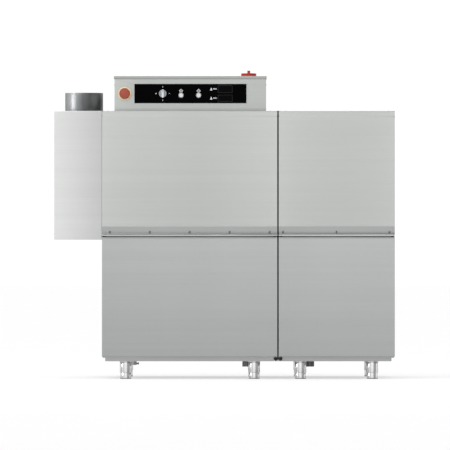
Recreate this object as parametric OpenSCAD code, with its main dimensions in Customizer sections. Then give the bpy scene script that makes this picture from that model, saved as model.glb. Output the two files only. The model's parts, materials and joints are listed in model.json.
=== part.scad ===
// Rack-conveyor dishwasher: wash module, prewash module and extraction hood.
// X runs along the conveyor, the operator stands at -Y, and Z = 0 is the floor.

/* [Modules] */
// Width of the wash module
main_w = 920; // [880:10:1000]
// Width of the prewash module
prewash_w = 610; // [560:10:700]
// Width of the extraction hood at the exit end
hood_w = 250; // [220:10:300]
// Depth over the doors, without the handle lip
body_d = 785; // [760:5:820]
// Height of the roof above the floor
body_top = 1400; // [1390:5:1430]
// Height of the underside of the base
base_z = 92; // [80:1:120]

/* [Doors] */
// Height of the joint between the doors and the lower panels
split_z = 742; // [730:1:755]
// Thickness of a double-skinned door
door_t = 28; // [22:1:30]
// How far a door lifts
door_travel = 420; // [300:10:430]

/* [Conveyor] */
// Height of the rack rails
rail_z = 850; // [840:5:860]
// Width of a standard rack
rack_w = 500; // [500:1:502]
// Stroke of the carriage
stroke = 120; // [100:5:130]

/* [Control box] */
// Width of the control box
box_w = 794; // [780:1:820]
// Height of the control box, with its lid
box_h = 184; // [176:2:190]
// Depth of the control box
box_d = 300; // [260:10:320]

/* [Duct] */
// Outer diameter of the duct collar
duct_d = 200; // [180:5:210]
// Height of the duct collar
duct_h = 100; // [70:2:110]

/* [Hidden] */
$fn = 48;

total_w = hood_w + main_w + prewash_w;
x_hood = -total_w / 2;
x_main = x_hood + hood_w;
x_seam = x_main + main_w;
x_end = x_seam + prewash_w;
seam = 7;
x_main_end = x_seam - seam / 2;
x_prewash = x_seam + seam / 2;
lip_out = 15;
y_front = -(body_d + lip_out) / 2 + lip_out;
y_door = y_front + door_t;
y_back = (body_d + lip_out) / 2;
sheet = 2;
skin = 1.5;
gap = 2;
tiny = 0.3;
post = 30;
y_post = y_door + 25;
plinth_h = 25;
plinth_inset = 17;
plinth_top = base_z + plinth_h;
head_z = body_top - 60;
tunnel_z = rail_z + 440;
tunnel_bottom = rail_z - 60;
tunnel_half = rack_w / 2 + 20;
under_roof = body_top - 1 - sheet;
front_in = 4;
rear_t = 4;

// Sheet-metal pan of size s and thickness t, open on the side named by dir: "back" or "up"
module pan(s, t, dir) {
    back = dir == "back";
    difference() {
        cube(s);
        translate([t, t, t]) cube([s.x - 2 * t, back ? s.y : s.y - 2 * t, back ? s.z - 2 * t : s.z]);
    }
}

// Cylinder of radius r and length h along the X axis or the Y axis
module rod_x(r, h) { rotate([0, 90, 0]) cylinder(r = r, h = h); }
module rod_y(r, h) { rotate([-90, 0, 0]) cylinder(r = r, h = h); }

// Bar of width w along X with the outline given as [y, z] points
module bar_x(points, w) { rotate([90, 0, 90]) linear_extrude(w) polygon(points); }

/* ---- Chassis, tanks and panels ---- */
y_rear = y_back - rear_t - 1 - post;
y_header = y_post + 47;
beam_h = 20;
beam_z = head_z + 20;
waist_z = split_z - 60;
sill_z = split_z - 36;
sill_h = 54;
post_in = plinth_inset + sheet;
curtain_z = tunnel_z + 10;
curtain_half = rack_w / 2;
curtain_in = post_in + post / 2;
rod_r = 6;
run = 0.05;
drain_r = 25;
main_drain = [x_main_end - 158, -250];
prewash_drain = [x_prewash + 162, -250];
water_in = [x_main + 158, 200];

// Square tube post standing on the base
module post_tube(x, y, z0, z1) {
    translate([x, y, z0]) difference() {
        cube([post, post, z1 - z0]);
        translate([sheet, sheet, sheet]) cube([post - 2 * sheet, post - 2 * sheet, z1 - z0]);
    }
}

// Pair of lugs under a side beam that carry a curtain rod
module curtain_lugs(x) {
    t = 4;
    for (s = [-1, 1]) translate([x, s * (curtain_half + 8) - t / 2, 0]) difference() {
        translate([-12, 0, curtain_z - 12]) cube([24, t, beam_z - curtain_z + 13]);
        translate([0, -1, curtain_z]) rod_y(rod_r + run, t + 2);
    }
}

// Welded frame of a module from x0 to x1: base tray, four posts and beams around
module chassis(x0, x1, holes) {
    inner = x1 - x0 - 2 * post_in - 2 * post;
    difference() {
        translate([x0 + plinth_inset, y_front + front_in, base_z])
            pan([x1 - x0 - 2 * plinth_inset, body_d - 2 * front_in, plinth_h], sheet, "up");
        for (h = holes) translate([h.x, h.y, base_z - 1]) cylinder(r = drain_r + 4, h = sheet + 2);
    }
    for (x = [x0 + post_in, x1 - post_in - post]) {
        for (y = [y_post, y_rear]) post_tube(x, y, base_z + 1, body_top - 5);
        for (z = [waist_z, beam_z])
            translate([x, y_post + post - 1, z]) cube([post, y_rear - y_post - post + 2, beam_h]);
    }
    for (p = [[y_post, plinth_top], [y_rear, plinth_top], [y_post, waist_z], [y_rear, waist_z],
              [y_header, beam_z], [y_rear, beam_z]])
        translate([x0 + post_in + post - 1, p[0], p[1]]) cube([inner + 2, post, beam_h]);
    translate([x0 + post_in, y_door + gap, sill_z]) cube([inner + 2 * post, sheet, sill_h]);
    for (x = [x0 + post_in, x1 - post_in - post])
        translate([x, y_door + gap, sill_z]) cube([post, y_post - y_door - gap + 1, 2 * sheet]);
}

module main_chassis() {
    color("silver") {
        chassis(x_main, x_main_end, [main_drain, water_in]);
        curtain_lugs(x_main + curtain_in);
    }
}

module prewash_chassis() {
    color("silver") {
        chassis(x_prewash, x_end, [prewash_drain]);
        for (x = [x_prewash + curtain_in, x_end - curtain_in]) curtain_lugs(x);
    }
}

// Open tank, with a drain hole through its floor
tank_top = rail_z - 90;
tank_floor = 480;
tank_y = 282;
main_tank_x = [x_main + 190, x_main_end - 90];
prewash_tank_x = [x_prewash + 90, x_end - 90];
module tank(x, drain) {
    difference() {
        translate([x[0], -tank_y, tank_floor])
            pan([x[1] - x[0], 2 * tank_y, tank_top - tank_floor], sheet, "up");
        translate([drain.x, drain.y, tank_floor - 1]) cylinder(r = drain_r, h = sheet + 2);
    }
}

module wash_tanks() {
    color("lightsteelblue") {
        tank(main_tank_x, main_drain);
        tank(prewash_tank_x, prewash_drain);
    }
}

// Folded cover under the doors of each module
panel_top = split_z - 6;
panel_bottom = plinth_top + 1;
module lower_panel(x0, x1) {
    translate([x0, y_front, panel_bottom]) pan([x1 - x0, door_t, panel_top - panel_bottom], skin, "back");
}

module lower_front_panels() {
    color("silver") {
        lower_panel(x_main, x_main_end);
        lower_panel(x_prewash, x_end);
    }
}

// Sheets with folded edges that close the back of each module
module rear_panels() {
    color("silver") for (m = [[x_main, x_main_end], [x_prewash, x_end]])
        translate([m[0], y_back - rear_t, panel_bottom])
            cube([m[1] - m[0], rear_t, under_roof - panel_bottom]);
}

// Roof sheets, lying behind the doors
module roof_panels() {
    y0 = y_door + gap;
    color("silver") for (m = [[x_main, x_main_end], [x_prewash, x_end]])
        translate([m[0], y0, body_top - sheet]) cube([m[1] - m[0], y_back - y0, sheet]);
}

// Side sheet with a rack opening in its upper half
module end_sheet(x) {
    difference() {
        translate([x, y_door + gap, panel_bottom])
            cube([sheet, y_back - rear_t - 1 - y_door - gap, under_roof - panel_bottom]);
        translate([x - 1, -tunnel_half, tunnel_bottom])
            cube([sheet + 2, 2 * tunnel_half, tunnel_z - tunnel_bottom]);
    }
}

module end_panels() {
    color("silver") {
        end_sheet(x_main + 1);
        end_sheet(x_end - 1 - sheet);
    }
}

// Rubber profile that fills the joint between the modules on the front, roof and back
module module_seal() {
    w = seam - 2 * tiny;
    t = 14;
    y0 = y_front + front_in;
    z0 = base_z + 18;
    color("black") translate([x_seam - w / 2, y0, z0]) difference() {
        cube([w, y_back - y0, body_top - z0]);
        translate([-1, t, t]) cube([w + 2, y_back - y0 - 2 * t, body_top - z0 - 2 * t]);
    }
}

// Clamp that pulls the two plinths together: a bar with a lobe on each side of the joint
clamp_z = base_z + 13;
module joining_clamp() {
    span = 26;
    color([0.05, 0.05, 0.05]) translate([x_seam, y_front - 4, clamp_z]) {
        for (s = [-1, 1]) translate([s * span / 2, 0, 0]) rod_y(9, 7.5);
        translate([-span / 2, 1, -5]) cube([span, 6, 10]);
    }
}

/* ---- Hood and duct ---- */
hood_bottom = split_z - 15;
duct_x = x_hood + 150;

// Hood open towards the wash module, with a rack opening and a hole under the duct collar
module exit_hood() {
    wing = hood_w - 1;
    color("gainsboro") difference() {
        translate([x_hood, y_front, hood_bottom]) cube([wing, body_d, body_top - hood_bottom]);
        translate([x_hood + skin, y_front + skin, hood_bottom + skin])
            cube([wing, body_d - 2 * skin, body_top - hood_bottom - 2 * skin]);
        translate([x_hood - 1, -tunnel_half, tunnel_bottom])
            cube([skin + 2, 2 * tunnel_half, tunnel_z - tunnel_bottom]);
        translate([duct_x, 0, body_top - 10]) cylinder(d = duct_d - 2 * sheet, h = 20, $fn = 96);
    }
}

// Rolled collar standing on the hood, for the exhaust duct
module duct_collar() {
    color("gray") translate([duct_x, 0, body_top]) difference() {
        cylinder(d = duct_d, h = duct_h, $fn = 96);
        translate([0, 0, -1]) cylinder(d = duct_d - 2 * skin, h = duct_h + 2, $fn = 96);
    }
}

/* ---- Doors and their balance ---- */
door_z = split_z + 12;
strip_top = split_z + 55;
strip_t = 2;
rail_w = 40;
rail_wall = 2;
shoe_h = 50;
shoe_z = [split_z + 40, split_z + 160];
rail_in = post_in + post / 2 - rail_w / 2;
bracket_t = 4;
pulley_r = 24;
pulley_w = 12;
belt_t = 2;
belt_in = rail_in + rail_w + bracket_t + 2 + pulley_w / 2;
pulley_y = y_door + 8 + belt_t / 2 + pulley_r;
pulley_z = [split_z + 55, body_top - 36];
stub_r = 5;
weight_top = body_top - 90;
weight_h = 340;
weight_d = 36;

// Double-skinned door, with drain slots in its lower edge
module door_leaf(x0, x1) {
    w = x1 - x0;
    h = body_top - door_z;
    color("silver") translate([x0, y_front, door_z]) difference() {
        cube([w, door_t, h]);
        translate([skin, skin, skin]) cube([w - 2 * skin, door_t - 2 * skin, h - 2 * skin]);
        for (f = [0.2, 0.8]) translate([w * f - 15, door_t / 2 - 3, -1]) cube([30, 6, skin + 2]);
    }
}

// Folded strip along the foot of a door, with a lip that fingers pull
module door_handle(x0, x1) {
    y = y_front;
    z0 = split_z + 8;
    t = strip_t;
    out = lip_out;
    points = [[y, strip_top], [y - t, strip_top], [y - t, z0 + 13], [y - out, z0 + 6], [y - out, z0],
        [y - out + t, z0], [y - out + t, z0 + 4.8], [y, z0 + 11.8]];
    color("silver") translate([x0, 0, 0]) bar_x(points, x1 - x0);
}

// Row of count pan-head screws from xa to xb
module strip_screws(xa, xb, count) {
    r = 5;
    head = 2.5;
    for (i = [0:count - 1])
        color("dimgray") translate([xa + (xb - xa) * i / (count - 1), y_front - strip_t - head, split_z + 27])
            rod_y(r, head);
}

// Plastic shoes that run in the two rails of a door, and the plates that grip its belts
module door_shoes(x0, x1) {
    clear = 0.2;
    inner = rail_w - 2 * rail_wall - 2 * clear;
    plate_y = pulley_y - pulley_r - belt_t / 2 - tiny - y_door;
    color("white") for (side = [0, 1]) {
        x_rail = side == 0 ? x0 + rail_in + rail_w / 2 : x1 - rail_in - rail_w / 2;
        x_belt = side == 0 ? x0 + belt_in : x1 - belt_in;
        for (z = shoe_z)
            translate([x_rail - inner / 2, y_door, z]) cube([inner, y_post - y_door - rail_wall - 1, shoe_h]);
        translate([x_belt - pulley_w / 2, y_door, pulley_z[0] + 40]) cube([pulley_w, plate_y, shoe_h]);
    }
}

module main_door() { door_leaf(x_main, x_main_end); }

module main_door_handle() { door_handle(x_main, x_main_end); }

module main_door_screws() { strip_screws(x_main + 41, x_main_end - 41, 5); }

module main_door_shoes() { door_shoes(x_main, x_main_end); }

module prewash_door() { door_leaf(x_prewash, x_end); }

module prewash_door_handle() { door_handle(x_prewash, x_end); }

module prewash_door_screws() { strip_screws(x_prewash + 22, x_end - 28, 3); }

module prewash_door_shoes() { door_shoes(x_prewash, x_end); }

// U-section rail, open to the front, with a bored bracket for each pulley on one side
module door_rail(x, side) {
    y0 = y_door + 1;
    d = y_post - y0 - tiny;
    z0 = split_z + 20;
    h = body_top - 8 - z0;
    br_x = side > 0 ? x + rail_w - tiny : x - bracket_t + tiny;
    translate([x, y0, z0]) difference() {
        cube([rail_w, d, h]);
        translate([rail_wall, -1, -1]) cube([rail_w - 2 * rail_wall, d - rail_wall + 1, h + 2]);
    }
    for (z = pulley_z) difference() {
        translate([br_x, y0, z - 20]) cube([bracket_t, pulley_y + 14 - y0, 40]);
        translate([br_x - 1, pulley_y, z]) rod_x(stub_r + run, bracket_t + 2);
    }
}

module door_rails() {
    color("silver") for (m = [[x_main, x_main_end], [x_prewash, x_end]]) {
        door_rail(m[0] + rail_in, 1);
        door_rail(m[1] - rail_in - rail_w, -1);
    }
}

// Closed belt loop around an upper and a lower pulley
module belt(x) {
    w = 8;
    ri = pulley_r - belt_t / 2;
    ro = pulley_r + belt_t / 2;
    span = pulley_z[1] - pulley_z[0];
    translate([x - w / 2, pulley_y, pulley_z[0]]) {
        for (y = [-ro, ri]) translate([0, y, 0]) cube([w, belt_t, span]);
        for (e = [0, 1]) translate([0, 0, e * span]) difference() {
            rod_x(ro, w);
            translate([-1, 0, 0]) rod_x(ri, w + 2);
            translate([-1, -ro - 1, e == 0 ? 0 : -ro - 1]) cube([w + 2, 2 * ro + 2, ro + 1]);
        }
    }
}

module balance_belts() {
    color("black") for (m = [[x_main, x_main_end], [x_prewash, x_end]]) {
        belt(m[0] + belt_in);
        belt(m[1] - belt_in);
    }
}

// Two pulleys of a door at height z, with stub axles; a cross shaft joins the upper ones
module pulley_pair(x0, x1, z, shaft) {
    stub = bracket_t + 2;
    ends = [x0 + belt_in - pulley_w / 2, x1 - belt_in + pulley_w / 2];
    color("gainsboro") translate([0, pulley_y, z]) {
        for (x = [ends[0], ends[1] - pulley_w])
            translate([x, 0, 0]) rod_x(pulley_r - belt_t / 2 - 0.1, pulley_w);
        translate([ends[0] - stub, 0, 0]) rod_x(stub_r, stub + 1);
        translate([ends[1] - 1, 0, 0]) rod_x(stub_r, stub + 1);
        if (shaft) translate([ends[0], 0, 0]) rod_x(stub_r + 1, ends[1] - ends[0]);
    }
}

module main_upper_pulley() { pulley_pair(x_main, x_main_end, pulley_z[1], true); }

module main_lower_pulley() { pulley_pair(x_main, x_main_end, pulley_z[0], false); }

module prewash_upper_pulley() { pulley_pair(x_prewash, x_end, pulley_z[1], true); }

module prewash_lower_pulley() { pulley_pair(x_prewash, x_end, pulley_z[0], false); }

// Steel bars that hang on the rear runs of the belts
module counterweights(x0, x1) {
    w = 20;
    color("dimgray") for (x = [x0 + belt_in, x1 - belt_in])
        translate([x - w / 2, pulley_y + pulley_r + belt_t / 2 + tiny, weight_top - weight_h])
            cube([w, weight_d, weight_h]);
}

module main_counterweight() { counterweights(x_main, x_main_end); }

module prewash_counterweight() { counterweights(x_prewash, x_end); }

/* ---- Control box ---- */
box_x = x_main + 64;
box_y = y_door + 57;
lid_h = 15;
lid_over = 3;
lid_z = body_top + box_h - lid_h;
face_t = 3;
face_y = box_y - face_t;
fascia_size = [586, 101];
fascia_x = box_x + 105;
panel_z = body_top + 92;
estop_x = box_x + 54;
knob_x = fascia_x + 148;
button_x = [fascia_x + 244, fascia_x + 336];
button_z = panel_z - 9;
display_x = fascia_x + 439;
button_r = 11;
shaft_r = 4;
estop_ring_r = 35;
estop_head_r = 28;
estop_stem_r = 10;
switch_at = [box_x + box_w - 90, box_y + 150];
switch_shaft_r = 6;
rosette_h = 17;

// Holes for the shafts and stems of the controls, through plates at the front of the box
module control_holes(y, t) {
    translate([knob_x, y, panel_z]) rod_y(shaft_r + run, t);
    for (x = button_x) translate([x, y, button_z]) rod_y(button_r + 0.3, t);
}

// Folded box standing on the roof
module control_box() {
    h = lid_z - body_top;
    color("gainsboro") difference() {
        translate([box_x, box_y, body_top]) cube([box_w, box_d, h]);
        translate([box_x + skin, box_y + skin, body_top - 1])
            cube([box_w - 2 * skin, box_d - 2 * skin, h + 2]);
        control_holes(box_y - 1, skin + 2);
        translate([estop_x, box_y - 1, panel_z]) rod_y(estop_stem_r + run, skin + 2);
    }
}

module control_box_lid() {
    color("gainsboro") difference() {
        translate([box_x - lid_over, box_y - lid_over, lid_z + tiny])
            cube([box_w + 2 * lid_over, box_d + 2 * lid_over, lid_h - tiny]);
        translate([box_x - lid_over + skin, box_y - lid_over + skin, lid_z - 1])
            cube([box_w + 2 * lid_over - 2 * skin, box_d + 2 * lid_over - 2 * skin, lid_h + 1 - skin]);
        translate([switch_at.x, switch_at.y, lid_z]) cylinder(r = switch_shaft_r + run, h = lid_h + 1);
    }
}

// Black control plate with a bezel round each push button
module fascia() {
    color([0.02, 0.02, 0.02]) difference() {
        union() {
            translate([fascia_x, face_y, panel_z - fascia_size.y / 2])
                cube([fascia_size.x, face_t, fascia_size.y]);
            for (x = button_x) translate([x, face_y - 2, button_z]) rod_y(button_r + 3, 3);
        }
        control_holes(face_y - 3, face_t + 4);
    }
}

module display_windows() {
    color([0.15, 0.15, 0.17]) for (w = [[6, 35], [-40, 31]])
        translate([display_x, face_y - 1, panel_z + w[0]]) cube([72, 1, w[1]]);
}

module estop_ring() {
    t = 8;
    color("wheat") translate([estop_x, box_y - t, panel_z]) difference() {
        rod_y(estop_ring_r, t);
        translate([0, -1, 0]) rod_y(estop_stem_r + run, t + 2);
    }
}

// Mushroom head with a domed edge, on its stem
module estop_button() {
    r = estop_head_r;
    edge = 4;
    head = 16;
    out = 32;
    color("red") translate([estop_x, box_y - out, panel_z]) {
        rotate([-90, 0, 0]) rotate_extrude() {
            translate([0, edge]) square([r, head - edge]);
            square([r - edge, edge + 1]);
            translate([r - edge, edge]) circle(r = edge);
        }
        rod_y(estop_stem_r, out + head);
    }
}

// Round knob with a grip bar across its face
module selector_knob() {
    r = 21.5;
    out = 20;
    grip = [9, 12, 2 * r - 4];
    color("whitesmoke") translate([knob_x, face_y - out, panel_z]) {
        translate([0, out / 2, 0]) rod_y(r, out / 2 - 1);
        translate([-grip.x / 2, 0, -grip.z / 2]) cube(grip);
        rod_y(shaft_r, out + face_t + 12);
    }
}

// Push button that stands as far out of the plate as it reaches in
module push_button(x) {
    out = 8;
    color("white") translate([x, face_y - out, button_z]) rod_y(button_r, 2 * out);
}

module start_button() { push_button(button_x[0]); }

module stop_button() { push_button(button_x[1]); }

// Stepped rosette of the rotary main switch
module main_switch_base() {
    color("red") translate([switch_at.x, switch_at.y, lid_z + lid_h]) difference() {
        union() {
            cylinder(r = 40, h = rosette_h / 2);
            cylinder(r = 34, h = rosette_h);
        }
        translate([0, 0, -1]) cylinder(r = switch_shaft_r + run, h = rosette_h + 2);
    }
}

// Grip bar of the rotary switch, on its shaft
module main_switch_handle() {
    bar = [15, 66, 13];
    reach = 41;
    color("red") translate([switch_at.x, switch_at.y, lid_z + lid_h + rosette_h + tiny]) {
        translate([-bar.x / 2, -bar.y / 2, 0]) cube(bar);
        translate([0, 0, 1 - reach]) cylinder(r = switch_shaft_r, h = reach);
    }
}

// Mounting plate with contactors, a transformer and a terminal block standing in front of it
module electrical_gear() {
    plate = [box_w - 160, sheet, 110];
    contactor = [45, 80, 75];
    transformer = [90, 90, 80];
    terminals = [110, 45, 40];
    pitch = 62;
    color("beige") translate([box_x, box_y + box_d - 60, body_top]) {
        translate([60, 0, 25]) cube(plate);
        for (i = [0:4]) translate([110 + pitch * i, -contactor.y - tiny, 45]) {
            cube(contactor);
            translate([6, -10, 12]) cube([33, 11, 50]);
        }
        translate([460, -transformer.y - tiny, 40]) cube(transformer);
        translate([570, -terminals.y - tiny, 60]) cube(terminals);
    }
}

/* ---- Legs ---- */
leg_r = 31;
cup_h = 31;
cup_r = 28;
stem_r = 12;
leg_y = body_d / 2 - 62;
leg_x = [x_main + 124, x_main_end - 121, x_prewash + 114, x_end - 117];

// Tubular legs, each closed by a bored sleeve that takes the stem of its foot
module legs() {
    sleeve = 12;
    color("silver") for (x = leg_x, y = [-leg_y, leg_y])
        translate([x, y, cup_h + 1]) difference() {
            cylinder(r = leg_r, h = base_z - cup_h - 1 - tiny);
            translate([0, 0, sleeve]) cylinder(r = leg_r - sheet, h = base_z);
            translate([0, 0, -1]) cylinder(r = stem_r + run, h = sleeve + 2);
        }
}

// Foot cups with their stems
module foot_cups() {
    color("silver") for (x = leg_x, y = [-leg_y, leg_y]) translate([x, y, 0]) {
        cylinder(r = cup_r, h = cup_h);
        cylinder(r = stem_r, h = base_z - 15);
    }
}

/* ---- Conveyor ---- */
crank_r = stroke / 2;
crank_pin_r = 8;
crank_at = [x_main + 100, -crank_r / 2];
bar_z = rail_z - 35;
bar_y = 75;
bar_w = 8;
bar_h = 20;
pivot_z = rail_z - 25;
pawl_pin_r = 4;
carriage_x = [crank_at.x + crank_r - 45, x_end - 60];
pawl_x = [x_prewash + 210, x_main + 430];
play = 0.22 * crank_r;

// Angle rails with side guides, tied by bearers that also carry the carriage
module rack_rail_frame(x0, x1, bearers) {
    t = 3;
    shelf = 22;
    play_y = 8;
    bearer = [25, rack_w + 2 * play_y + 2, 15];
    for (s = [-1, 1]) translate([x0, s * (rack_w / 2 + play_y), 0]) {
        translate([0, s > 0 ? 2 - shelf : -2, rail_z - t]) cube([x1 - x0, shelf, t]);
        translate([0, s > 0 ? 0 : -t, rail_z - 50]) cube([x1 - x0, t, 85]);
    }
    for (x = bearers) translate([x, -bearer.y / 2, bar_z - bearer.z - tiny]) cube(bearer);
}

module rack_rails() {
    color("silver") {
        rack_rail_frame(x_main + 10, x_main_end - 4, [x_main + 200, x_main + 520, x_main_end - 80]);
        rack_rail_frame(x_prewash + 4, x_end - 10, [x_prewash + 30, x_end - 110]);
    }
}

// Ladder frame that slides back and forth, with a slotted plate for the crank pin
module carriage() {
    slot = [2 * (crank_pin_r + play + 1), 2 * (crank_r / 2 + crank_pin_r + 1)];
    cx = crank_at.x + crank_r;
    length = carriage_x[1] - carriage_x[0];
    color("silver") {
        for (s = [-1, 1])
            translate([carriage_x[0], s * bar_y - bar_w / 2, bar_z]) cube([length, bar_w, bar_h]);
        difference() {
            translate([carriage_x[0], -bar_y, bar_z]) cube([90, 2 * bar_y, bar_w]);
            translate([cx - slot.x / 2, -slot.y / 2, bar_z - 1]) cube([slot.x, slot.y, bar_w + 2]);
        }
        for (x = pawl_x) translate([x, -bar_y, pivot_z]) rod_y(pawl_pin_r, 2 * bar_y);
        translate([carriage_x[1] - 30, -bar_y, bar_z]) cube([30, 2 * bar_y, bar_w]);
    }
}

// Bottom-heavy pawl that stands up behind a rack and tips over as it returns
module pawl(x) {
    w = 24;
    color("orange") translate([x, -w / 2, pivot_z]) difference() {
        union() {
            rod_y(10, w);
            translate([-6, 0, 0]) cube([12, w, 43]);
            translate([-9, 0, -24]) cube([18, w, 18]);
        }
        translate([0, -1, 0]) rod_y(pawl_pin_r + run, w + 2);
    }
}

module entry_pawl() { pawl(pawl_x[0]); }

module exit_pawl() { pawl(pawl_x[1]); }

crank_z = bar_z - 20;
crank_shaft_r = 10;
motor_top = crank_z - 1;

// Crank arm with its shaft below and a pin above that runs in the slot of the carriage
module crank() {
    t = 10;
    color("dimgray") translate([crank_at.x, crank_at.y, crank_z]) {
        cylinder(r = 22, h = t);
        translate([0, -14, 0]) cube([crank_r, 28, t]);
        translate([crank_r, 0, 0]) {
            cylinder(r = 14, h = t);
            cylinder(r = crank_pin_r, h = bar_z + bar_w + 4 - crank_z);
        }
        translate([0, 0, -41]) cylinder(r = crank_shaft_r, h = 42);
    }
}

// Gearbox with an upright bored outlet, and its motor
module gearmotor() {
    gearbox = [90, 90, 62];
    height = 70;
    axis_z = 30;
    motor_l = 150;
    color("slategray") translate([crank_at.x, crank_at.y, motor_top - height]) difference() {
        union() {
            translate([-gearbox.x / 2, -gearbox.y / 2, 0]) cube(gearbox);
            cylinder(r = 24, h = height);
            translate([0, gearbox.y / 2 - 1, axis_z]) rod_y(36, motor_l);
            translate([0, gearbox.y / 2 - 1 + motor_l, axis_z]) rod_y(30, 30);
        }
        translate([0, 0, 20]) cylinder(r = crank_shaft_r + run, h = height);
    }
}

/* ---- Water system ---- */
pump_z = 330;
pump_y = 60;
pump_shaft_r = 8;
wheel_r = 52;
wash_pump_x = x_main_end - 330;
prewash_pump_x = x_prewash + 200;
casing_w = 60;

// Pump: casing with a suction mouth, outlet pipe and flange-mounted motor along +X
module pump(x) {
    wall = 6;
    mouth = 30;
    outlet_y = wheel_r - 6;
    translate([x, pump_y, pump_z]) {
        difference() {
            union() {
                rod_x(wheel_r + 14, casing_w);
                translate([casing_w / 2, outlet_y, 0]) cylinder(r = 20, h = tank_floor - pump_z - 8);
                translate([-mouth, 0, 0]) rod_x(30, mouth + 1);
            }
            translate([wall, 0, 0]) rod_x(wheel_r + 4, casing_w - 2 * wall);
            translate([-mouth - 1, 0, 0]) rod_x(25, mouth + 2 + wall);
            translate([casing_w / 2, outlet_y, 0]) cylinder(r = 16, h = tank_floor - pump_z);
            translate([casing_w - wall - 1, 0, 0]) rod_x(pump_shaft_r + 2, wall + 2);
        }
        translate([casing_w + tiny, 0, 0]) difference() {
            union() {
                rod_x(70, 190);
                for (a = [0:30:330]) rotate([a, 0, 0]) translate([10, -2, 60]) cube([150, 4, 16]);
                translate([40, -45, 60]) cube([80, 90, 40]);
            }
            translate([-1, 0, 0]) rod_x(pump_shaft_r + run, 80);
        }
    }
}

module pumps() {
    color("slategray") {
        pump(wash_pump_x);
        pump(prewash_pump_x);
    }
}

// Pump wheel with straight vanes on a shaft
module impeller(x) {
    color("orange") translate([x + 12, pump_y, pump_z]) {
        translate([24, 0, 0]) rod_x(wheel_r, 5);
        for (a = [0:60:300]) rotate([a, 0, 0]) translate([0, -2, 14]) cube([25, 4, wheel_r - 16]);
        rod_x(15, 25);
        translate([28, 0, 0]) rod_x(pump_shaft_r, 70);
    }
}

module wash_impeller() { impeller(wash_pump_x); }

module prewash_impeller() { impeller(prewash_pump_x); }

// Group of spray tubes at height z, joined by a header along X, with nozzles on one side
module spray_group(x, z, arm_r, aim) {
    half = 225;
    translate([x[0] - 20, 0, z]) rod_x(arm_r + 3, x[len(x) - 1] - x[0] + 40);
    for (xi = x) translate([xi, 0, z]) {
        translate([0, -half, 0]) rod_y(arm_r, 2 * half);
        for (y = [-190, -120, -50, 50, 120, 190])
            translate([0, y, aim > 0 ? 0 : -arm_r - 4]) cylinder(r = 4, h = arm_r + 4);
    }
}

module spray_arms() {
    wash_x = [for (i = [0:3]) x_main + 350 + 120 * i];
    rinse_x = [x_main + 170, x_main + 215];
    prewash_arm_x = [for (i = [0:2]) x_prewash + 190 + 110 * i];
    low = bar_z - 34;
    high = tunnel_z + 30;
    color("lightsteelblue") {
        spray_group(wash_x, high, 14, -1);
        spray_group(wash_x, low, 10, 1);
        spray_group(rinse_x, high, 8, -1);
        spray_group([x_main + 260, x_main + 295], low, 6, 1);
        spray_group(prewash_arm_x, high, 12, -1);
        spray_group(prewash_arm_x, low, 9, 1);
    }
}

// Upright booster boiler with a flanged head and its water inlet pipe through the base
boiler_r = 80;
boiler_z = 200;
boiler_h = 250;
module booster_boiler() {
    wall = 3;
    below = 30;
    color("silver") translate([water_in.x, water_in.y, 0]) difference() {
        union() {
            translate([0, 0, boiler_z]) cylinder(r = boiler_r, h = boiler_h);
            translate([0, 0, boiler_z + boiler_h - 1]) cylinder(r = boiler_r - 20, h = 14);
            for (a = [0:60:300]) rotate([0, 0, a])
                translate([boiler_r - 30, 0, boiler_z + boiler_h + 12]) cylinder(r = 5, h = 8);
            translate([0, 0, base_z - below]) cylinder(r = 17, h = boiler_z - base_z + below + wall);
        }
        translate([0, 0, boiler_z + wall]) cylinder(r = boiler_r - wall, h = boiler_h - 10);
        translate([0, 0, base_z - below - 1])
            cylinder(r = 12, h = boiler_z - base_z + below + wall + 2);
    }
}

// U-shaped heating elements lying in the wash tank
module heating_elements() {
    x0 = main_tank_x[0] + 30;
    length = main_tank_x[1] - main_tank_x[0] - 140;
    bend = 40;
    r = 5;
    color("dimgray") for (y = [-80, 120]) translate([x0, y, tank_floor + 40]) {
        for (s = [-1, 1]) translate([0, s * bend, 0]) rod_x(r, length);
        translate([length, 0, 0]) rotate([0, 0, -90])
            rotate_extrude(angle = 180) translate([bend, 0]) circle(r = r);
    }
}

// Slotted trays that lie over the tanks
module filter_tray(x) {
    w = x[1] - x[0] - 2 * sheet - 2;
    d = 2 * tank_y - 2 * sheet - 2;
    nx = floor(w / 60);
    ny = floor(d / 90);
    translate([x[0] + sheet + 1, -d / 2, tank_top - 12]) difference() {
        cube([w, d, sheet]);
        for (i = [0:nx - 1], j = [0:ny - 1])
            translate([20 + i * (w - 20) / nx, 15 + j * (d - 10) / ny, -1]) cube([12, 60, sheet + 2]);
    }
}

module tank_filters() {
    color("silver") {
        filter_tray(main_tank_x);
        filter_tray(prewash_tank_x);
    }
}

// Waste pipes from the tank floors down through the bases, each ending in a narrower hose spigot
module drain_pipes() {
    spigot = 30;
    wall = 3;
    color("gray") for (d = [main_drain, prewash_drain]) translate([d.x, d.y, base_z - spigot]) difference() {
        union() {
            cylinder(r = drain_r, h = spigot + 1);
            translate([0, 0, spigot]) cylinder(r = drain_r + 2, h = tank_floor - base_z - tiny);
        }
        translate([0, 0, -1]) cylinder(r = drain_r - wall, h = tank_floor - base_z + spigot + 2);
    }
}

// Overflow tube that stands in the drain hole and stops it
module standpipe(at) {
    color("whitesmoke") translate([at.x, at.y, tank_floor]) difference() {
        union() {
            cylinder(r = drain_r - 0.1, h = 12);
            cylinder(r = drain_r - 5, h = tank_top - 70 - tank_floor);
        }
        translate([0, 0, -1]) cylinder(r = drain_r - 8, h = tank_top - tank_floor);
    }
}

module wash_standpipe() { standpipe(main_drain); }

module prewash_standpipe() { standpipe(prewash_drain); }

/* ---- Curtains ---- */
curtain_bottom = rail_z + 35;

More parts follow.
